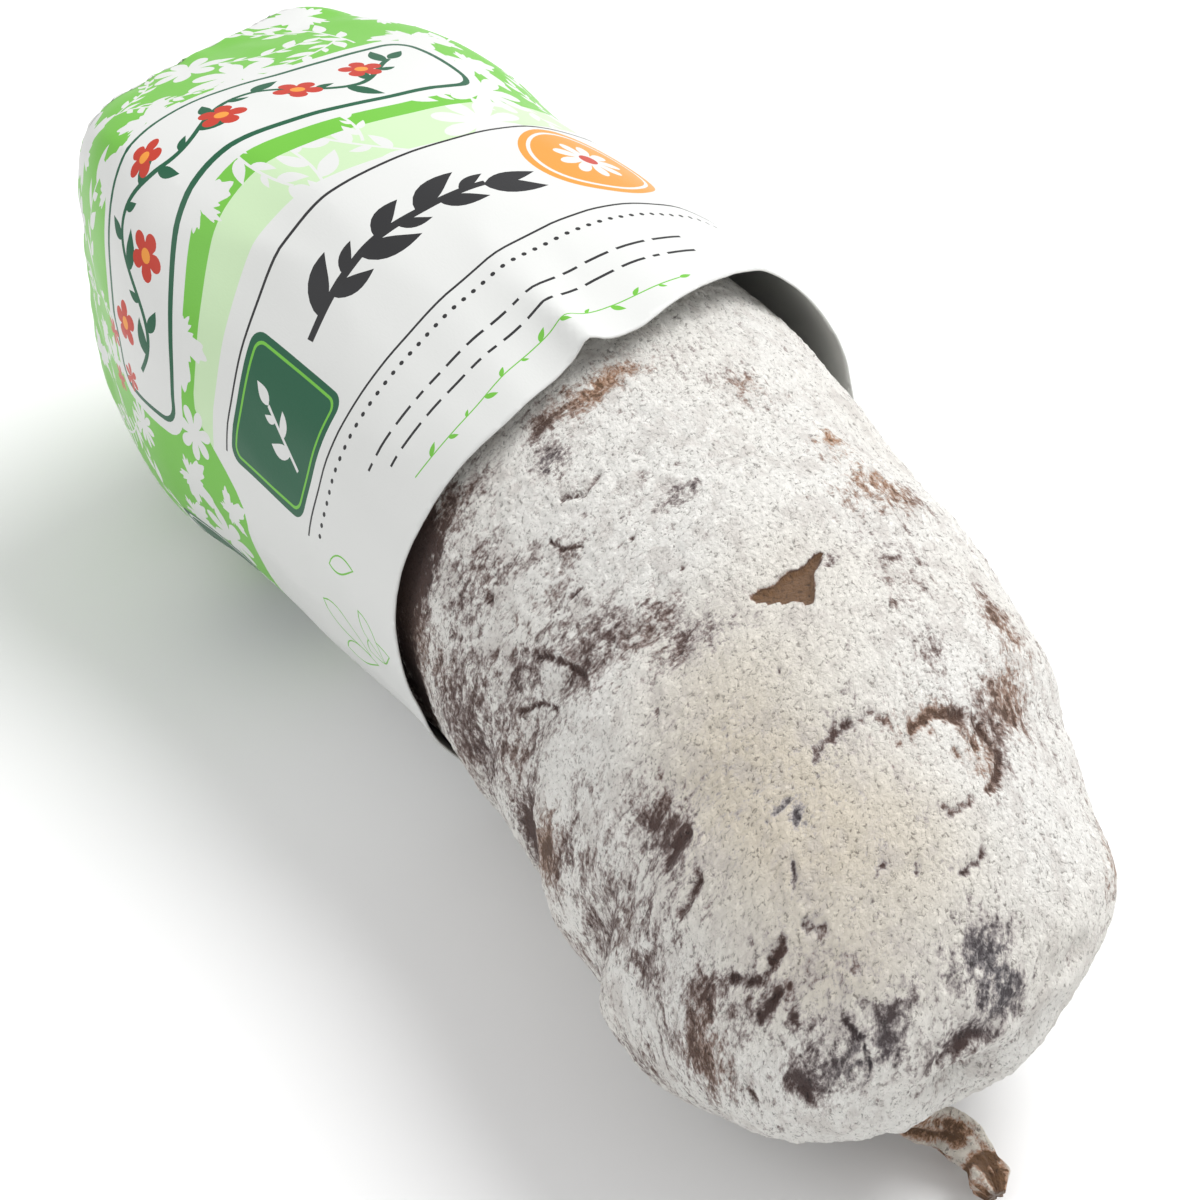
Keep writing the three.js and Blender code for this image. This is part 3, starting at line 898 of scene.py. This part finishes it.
def artwork():
    """The sheet's printed shapes, as (ink, outline), painted in order."""
    random = np.random.default_rng(7)
    art = []

    def paint(ink, *outlines):
        art.extend((INKS.index(ink), outline) for outline in outlines)

    def ground(x0, x1, low, high):
        """The sheet from s = low up to the line high(x)."""
        x = np.linspace(x0, x1, 120)
        return np.concatenate([points_from(x, low), points_from(x, high(x))[::-1]])

    def framed(x0, s0, x1, s1, corner, *layers):
        """Rounded boxes inside one another: (ink, inset, how much less the corner's radius is)."""
        for ink, inset, less in layers:
            paint(ink, rounded_box(x0 + inset, s0 + inset, x1 - inset, s1 - inset, corner - less))

    # Pale ground under the green, with leaves a little lighter.
    panel_from, panel_to = across_sheet(174), across_sheet(52)
    widest = across_sheet(80)
    paint("pale_green", ground(panel_from, panel_to, 30, lambda x: 37 + 2.4 * bell(x - widest, 18)))
    pale_leaves = scattered_foliage(random, 7, 34.5, 38, lambda x, s: not panel_from + 24 < x < panel_to - 3)
    paint("paper", *pale_leaves)

    # Green ground with white foliage.
    def is_taken(x, s):
        in_band = BAND_FROM - 3 < x < BAND_TO + 3 and 16.5 < s < 30.5
        return in_band or s > ground_edge(x) - 1.5

    paint("leaf_green", ground(-2, SHEET_WIDTH + 2, -2, ground_edge))
    paint("paper", *scattered_foliage(random, 260, 1.5, 41, is_taken))

    # The framed band, with a garland where a name would be.
    x0, x1 = BAND_FROM, BAND_TO
    layers = (("paper", 0, 0), ("dark_green", 1.3, 0.9), ("paper", 1.9, 1.3))
    framed(x0 - 1.4, 16.6, x1 + 1.4, 31.4, 3.4, *layers)
    vine = wavy(x0 + 4, x1 - 5, 24, 2.2, 17.0, 90)
    paint("dark_green", *sprig(vine, 3.8, 1.6, 0.9, 0.55, 2.7))
    for k, x in enumerate(np.linspace(x0 + 8, x1 - 9, 6)):
        s = 24 - 2.2 * math.sin((x - x0 - 4) * 2 * math.pi / 17.0) * 1.15
        paint("red", daisy(x, s, 2.2, 5, 0.5 * k, 0.5))
        paint("ochre", disc(x, s, 0.65, 14))
    for x, s in ((x0 + 5, 16.5), (x0 + 1.5, 20.5), (x0 - 1.5, 15.6)):
        paint("red", daisy(x, s, 1.7, 6, x, 0.8))

    # Rules, and a laurel branch where a title would be.
    left, right = across_sheet(172), across_sheet(46)
    paint("black", strip(wavy(left, right, 39.6, 0.25, 60), 0.28))
    paint("black", strip(wavy(left - 1, right, 56.4, 0.2, 70), 0.28))
    for x in np.arange(left, right - 2, 1.25):
        paint("black", disc(x, 58.4, 0.27, 8))
    branch = wavy(across_sheet(140), across_sheet(92), 47.2, -1.0, 46, 50)
    paint("black", *sprig(branch, 6.6, 2.35, 0.62, 0.75, 2.35))

    # A plain dark panel with a white leaf, and a plain ochre disc with a daisy.
    x0, x1 = across_sheet(172.5), across_sheet(144.5)
    layers = (("dark_green", 0, 0), ("leaf_green", 0.7, 0.4), ("dark_green", 1.0, 0.6))
    framed(x0, 40.6, x1, 55.0, 1.6, *layers)
    middle = (x0 + x1) / 2
    stem = [(middle - 2.5, 52.5), (middle - 1, 49.5), (middle + 1.2, 45.5)]
    paint("paper", *sprig(stem, 3.6, 1.6, 0.75, 0.35, 2.0))
    x, s = across_sheet(66), 47
    paint("ochre", disc(x, s, 7.0, 60))
    paint("paper", disc(x, s, 6.2, 56))
    paint("ochre", disc(x, s, 5.8, 56))
    paint("paper", daisy(x, s, 3.6, 9, 0.3))
    paint("red", disc(x, s, 1.0, 20))

    # Two rows of fine dashes, a green garland by the mouth and outlined leaves on the right side.
    for row, s in enumerate((63.0, 65.6)):
        x, end = across_sheet(152 - 4 * row), across_sheet(70 + 3 * row)
        while x < end:
            length = random.uniform(0.7, 3.4)
            paint("black", strip([(x, s), (x + length, s)], 0.34))
            x += length + 0.9
    fine = wavy(across_sheet(146), across_sheet(78), 69.4, 0.5, 24, 110)
    paint("leaf_green", *sprig(fine, 1.7, 0.7, 0.9, 0.16, 2.6))
    for angle, s, length, heading in OUTLINED_LEAVES:
        x = across_sheet(angle)
        width = length * 0.42
        paint("leaf_green", leaf(x, s, length, width, heading, 0.3, 11))
        x, s = x + 0.25 * math.cos(heading), s + 0.25 * math.sin(heading)
        paint("paper", leaf(x, s, length - 0.6, width - 0.4, heading, 0.3, 11))

    # The back: a plain panel with rules, and a plain dark panel.
    x0, x1 = across_sheet(28), across_sheet(-38)
    framed(x0, 38, x1, 60, 1.8, ("dark_green", 0, 0), ("paper", 0.4, 0.3))
    for k in range(6):
        paint("dark_green", strip([(x0 + 3, 42 + 2.8 * k), (x1 - 3, 42 + 2.8 * k)], 0.22))
    layers = (("dark_green", 0, 0), ("paper", 0.8, 0.5), ("dark_green", 1.2, 0.7))
    framed(across_sheet(240), 24, across_sheet(205), 38, 1.6, *layers)
    return art


def stretch_over_corner(outline):
    """The squared end's upper right corner draws the print towards the fold."""
    x, s = outline[:, 0], outline[:, 1]
    angle = angle_at(x)
    drawn = 0.33 * bell(turned(angle, 125), 27) * (1 - smooth(s, 18, 52))
    return points_from(x, s * (1 - drawn))


def subdivided(outline, longest=1.1):
    """The outline with its long edges cut up, so that it follows the curved sheet."""
    points = []
    for a, b in zip(outline, np.roll(outline, -1, axis=0)):
        pieces = max(1, math.ceil(np.linalg.norm(b - a) / longest))
        points.extend(a + (b - a) * k / pieces for k in range(pieces))
    return np.array(points)


def inside(points, outline):
    """Which points lie inside a closed outline, by the even-odd rule."""
    low, high = outline.min(axis=0), outline.max(axis=0)
    near = np.nonzero(np.all((points >= low) & (points <= high), axis=1))[0]
    x, y = points[near, 0], points[near, 1]
    within = np.zeros(len(near), dtype=bool)
    for (x0, y0), (x1, y1) in zip(outline, np.roll(outline, -1, axis=0)):
        if y0 != y1:
            crosses = ((y0 > y) != (y1 > y)) & (x < (x1 - x0) * (y - y0) / (y1 - y0) + x0)
            within ^= crosses
    result = np.zeros(len(points), dtype=bool)
    result[near] = within
    return result


def triangulate(boundary, outlines, spacing, lines=()):
    """Triangles inside a boundary, with edges along every outline and open line."""
    points, edges = [], []
    paths = [(path, True) for path in (boundary, *outlines)] + [(line, False) for line in lines]
    for path, closed in paths:
        start = len(points)
        points.extend(path)
        count = len(path)
        edges.extend((start + k, start + (k + 1) % count) for k in range(count if closed else count - 1))

    def cell(x, y):
        return round(x / spacing * 2), round(y / spacing * 2)

    taken = {cell(x, y) for x, y in points}
    low, high = boundary.min(axis=0), boundary.max(axis=0)
    for row, y in enumerate(np.arange(low[1] + spacing / 2, high[1], spacing * 0.87)):
        for x in np.arange(low[0] + spacing * (0.5 if row % 2 else 1.0), high[0] - spacing * 0.3, spacing):
            if cell(x, y) not in taken:
                points.append((x, y))
    vectors = [Vector((float(x), float(y))) for x, y in points]
    flat, _, triangles, *_ = delaunay_2d_cdt(vectors, edges, [], 0, 1e-4, False)
    flat = np.array([tuple(v) for v in flat])
    triangles = np.array([t for t in triangles if len(t) == 3])
    middles = flat[triangles].mean(axis=1)
    kept = inside(middles, boundary)
    return flat, triangles[kept], middles[kept]


def inked(middles, art):
    """The ink over each triangle: that of the last shape painted there."""
    ink = np.zeros(len(middles), dtype=int)
    for index, outline in art:
        ink[inside(middles, outline)] = index
    return ink


def sheet_boundary():
    """The sheet's outline: the fold line, the two seam edges and the cut edge at the mouth."""
    angles, ends = zip(*MOUTH_EDGE)
    x = np.linspace(0, SHEET_WIDTH, 260)
    cut = np.interp(x, across_sheet(np.array(angles)), ends)
    smoothed = np.convolve(np.pad(cut, 4, mode="edge"), averaging(9), mode="valid")
    ragged = 0.10 * Noise(41)(points_from(x / 1.7, 0, 0)) + 0.12 * Noise(42)(points_from(x / 6, 0, 0))
    cut = smoothed + ragged * smooth(np.minimum(x, SHEET_WIDTH - x), 0, 3)
    cut[-1] = cut[0]
    seam = np.linspace(0, cut[0], 80)[1:-1]
    fold = np.linspace(0, SHEET_WIDTH, 200)
    return np.concatenate([
        points_from(fold, 0),
        points_from(SHEET_WIDTH, seam),
        points_from(x, cut)[::-1],
        points_from(0, seam[::-1]),
    ])


# ---- Folded end, in (left, up) from its middle ----

LOWER_FLAP = 33.0  # how far each flap reaches
UPPER_FLAP = 29.0
FLAP_SLANT = 0.62  # how fast a flap narrows from its fold
FLAP_LAYER = 0.32
SHARP_CREASE = rad(38)


def flap(edge_up, reach, direction_up):
    """The outline of a flap folded over from the top or bottom edge."""
    half = FOLD_HALF_WIDTH - 0.6
    narrow = half - FLAP_SLANT * reach
    tip = edge_up - direction_up * reach
    outline = np.array([(-half, edge_up), (-narrow, tip), (narrow, tip), (half, edge_up)], dtype=float)
    return outline if direction_up < 0 else outline[::-1]


def build_folded_end(rim):
    """Vertices and triangles that close the tube at s = 0, from the rim's (left, up) points."""
    flaps = [flap(-FOLD_HALF_HEIGHT, LOWER_FLAP, -1), flap(FOLD_HALF_HEIGHT, UPPER_FLAP, 1)]
    inner_flaps = [outline * np.array([0.985, 1]) for outline in flaps]
    shapes = []
    random = np.random.default_rng(12)
    for _ in range(16):
        x, y = random.uniform(-15, 15), random.uniform(-17, 17)
        size = random.uniform(2.4, 4.2)
        heading = random.uniform(0, 2 * math.pi)
        is_daisy = random.integers(2)
        one = daisy(x, y, size, 8, heading) if is_daisy else lobed_leaf(x, y, size * 1.1, heading)
        if all(np.linalg.norm(one.mean(axis=0) - other.mean(axis=0)) > 7.5 for other in shapes):
            shapes.append(one)
    outlines = [subdivided(o, 1.2) for o in flaps + inner_flaps] + shapes
    flat, triangles, middles = triangulate(rim, outlines, 1.1)
    height = np.zeros(len(flat))
    for outline, inner in zip(flaps, inner_flaps):
        height += FLAP_LAYER * (inside(flat * 0.999, inner) | inside(flat * 0.9985, inner))
    depth_in = np.min(np.linalg.norm(flat[:, None] - rim[None, ::3], axis=2), axis=1)
    uneven = Noise(43)(points_from(flat[:, 0] / 9, flat[:, 1] / 9, 0))
    bulge = smooth(depth_in, 0, 9) * (0.5 + 0.35 * uneven)
    stand = (height + bulge) * smooth(depth_in, 0, 1.2)
    ink = np.full(len(triangles), INKS.index("leaf_green"))
    for outline in shapes:
        ink[inside(middles, outline)] = INKS.index("paper")
    points = place(-stand, flat[:, 0], soft_floor(SLEEVE_RADIUS - FLAT_DEPTH + flat[:, 1], 0.0, 0.2))
    return points, triangles, ink


def build_sleeve(materials):
    art = [(ink, stretch_over_corner(subdivided(outline))) for ink, outline in artwork()]
    boundary = sheet_boundary()
    lap = SHEET_WIDTH - LAP_WIDTH
    seam_s = np.linspace(0, 70, 78)
    lines = [points_from(lap + offset, seam_s) for offset in (0.0, 0.12)]
    flat, triangles, middles = triangulate(boundary, [outline for _, outline in art], GRID, lines)
    points = wrap(flat[:, 0], flat[:, 1])
    ink = inked(middles, art)

    on_fold = np.nonzero(np.abs(flat[:, 1]) < 1e-3)[0]
    on_fold = on_fold[np.argsort(flat[on_fold, 0])]
    x = flat[on_fold, 0]
    angle = angle_at(x)
    radius, cos, sin = section(0, angle)
    radius = radius + paper_relief(x, 0, angle)
    rim = points_from(radius * cos, radius * sin)[:-1]
    end_points, end_triangles, end_ink = build_folded_end(rim)

    every = np.concatenate([points, end_points])
    faces = np.concatenate([triangles, end_triangles[:, ::-1] + len(points)])
    piece = new_mesh("printed_sleeve", every, faces.tolist(), materials)
    mesh = piece.data
    mesh.polygons.foreach_set("material_index", np.concatenate([ink, end_ink]))
    weld_and_orient(mesh)
    mesh.set_sharp_from_angle(angle=SHARP_CREASE)
    thickness = piece.modifiers.new("paper_thickness", "SOLIDIFY")
    thickness.thickness = PAPER * MM
    thickness.offset = -1
    thickness.material_offset = len(INKS)
    thickness.material_offset_rim = len(INKS)
    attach(piece, "root")
    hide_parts("paper_sleeve")
    return piece


def weld_and_orient(mesh):
    """Join the seam and the rim, and turn every face outwards."""
    bm = bmesh.new()
    bm.from_mesh(mesh)
    bmesh.ops.remove_doubles(bm, verts=bm.verts, dist=0.01 * MM)
    bmesh.ops.dissolve_degenerate(bm, edges=bm.edges, dist=1e-4 * MM)
    bmesh.ops.recalc_face_normals(bm, faces=bm.faces)
    bm.normal_update()
    lowest = min(bm.faces, key=lambda face: face.calc_center_median().z)
    if lowest.normal.z > 0:
        bmesh.ops.reverse_faces(bm, faces=bm.faces)
    for face in bm.faces:
        face.smooth = True
    bm.to_mesh(mesh)
    bm.free()


def ink_material(name):
    """Smooth wrapping paper: a faint fibre grain, and ink that is a little glossier than the sheet."""
    roughness = 0.5 if name in ("paper", "inside") else 0.42
    n = Nodes("print_" + name, roughness, specular=0.4)
    n.shader.inputs["Base Color"].default_value = INK_COLOURS[name]
    where = n.add("ShaderNodeTexCoord").outputs["Object"]
    fibres = n.noise(n.stretched(where, (2600, 5200, 5200)), 1.0, 3, 0.6)
    clouds = n.noise(where, 90, 3, 0.5)
    uneven = n.math("MULTIPLY_ADD", n.math("SUBTRACT", clouds, 0.5), 0.22, roughness)
    n.feed(n.shader.inputs["Roughness"], uneven)
    n.bump(fibres, 0.00002, 0.6)
    return n.material


# ---- Stage, light and camera ----

CAMERA_TARGET = Vector((5.0, -2.4, 22.6)) * MM
CAMERA_HEADING = rad(-30.4)
CAMERA_HEIGHT = rad(40)
CAMERA_DISTANCE = 311 * MM
CAMERA_LENS = 96.0

# Name, heading, height, distance in metres, size in metres and power in watts.
LIGHTS = [("key", 84, 58, 0.9, 0.6, 7.7), ("fill", -95, 38, 1.0, 0.8, 2.4)]
LIGHT_TARGET = Vector((0, 0, 0.02))
WORLD_STRENGTH = 0.66
FLOOR_COLOUR = (0.84, 0.84, 0.84, 1)
FLOOR_HALF_SIZE = 1500.0
FLOOR_DROP = 0.05  # below what rests on it


def direction(heading, height):
    flat = math.cos(height)
    return Vector((flat * math.cos(heading), flat * math.sin(heading), math.sin(height)))


def look_at(thing, target):
    thing.rotation_euler = (target - thing.location).to_track_quat("-Z", "Y").to_euler()


def build_camera():
    data = bpy.data.cameras.new("camera")
    data.lens = CAMERA_LENS
    data.sensor_width = 36
    data.clip_start = 0.01
    camera = add_object("camera", data)
    camera.location = CAMERA_TARGET + direction(CAMERA_HEADING, CAMERA_HEIGHT) * CAMERA_DISTANCE
    look_at(camera, CAMERA_TARGET)
    bpy.context.scene.camera = camera


def build_light(name, heading, height, distance, size, power):
    data = bpy.data.lights.new(name, "AREA")
    data.shape = "DISK"
    data.size = size
    data.energy = power
    light = add_object(name, data)
    light.location = direction(rad(heading), rad(height)) * distance
    look_at(light, LIGHT_TARGET)


def build_stage():
    n = Nodes("pale_floor", roughness=0.8, specular=0.2)
    n.shader.inputs["Base Color"].default_value = FLOOR_COLOUR
    corners = np.array([(-1, -1), (1, -1), (1, 1), (-1, 1)]) * FLOOR_HALF_SIZE
    corners = points_from(*corners.T, -FLOOR_DROP)
    new_mesh("floor", corners, [[0, 1, 2, 3]], [n.material])
    world = bpy.data.worlds.new("studio")
    world.use_nodes = True
    world.node_tree.nodes["Background"].inputs["Color"].default_value = (1, 1, 1, 1)
    world.node_tree.nodes["Background"].inputs["Strength"].default_value = WORLD_STRENGTH
    bpy.context.scene.world = world
    bpy.context.scene.view_settings.view_transform = "Standard"
    for light in LIGHTS:
        build_light(*light)


build_sausage(casing_material())
build_sleeve([ink_material(name) for name in INKS])
build_stage()
build_camera()
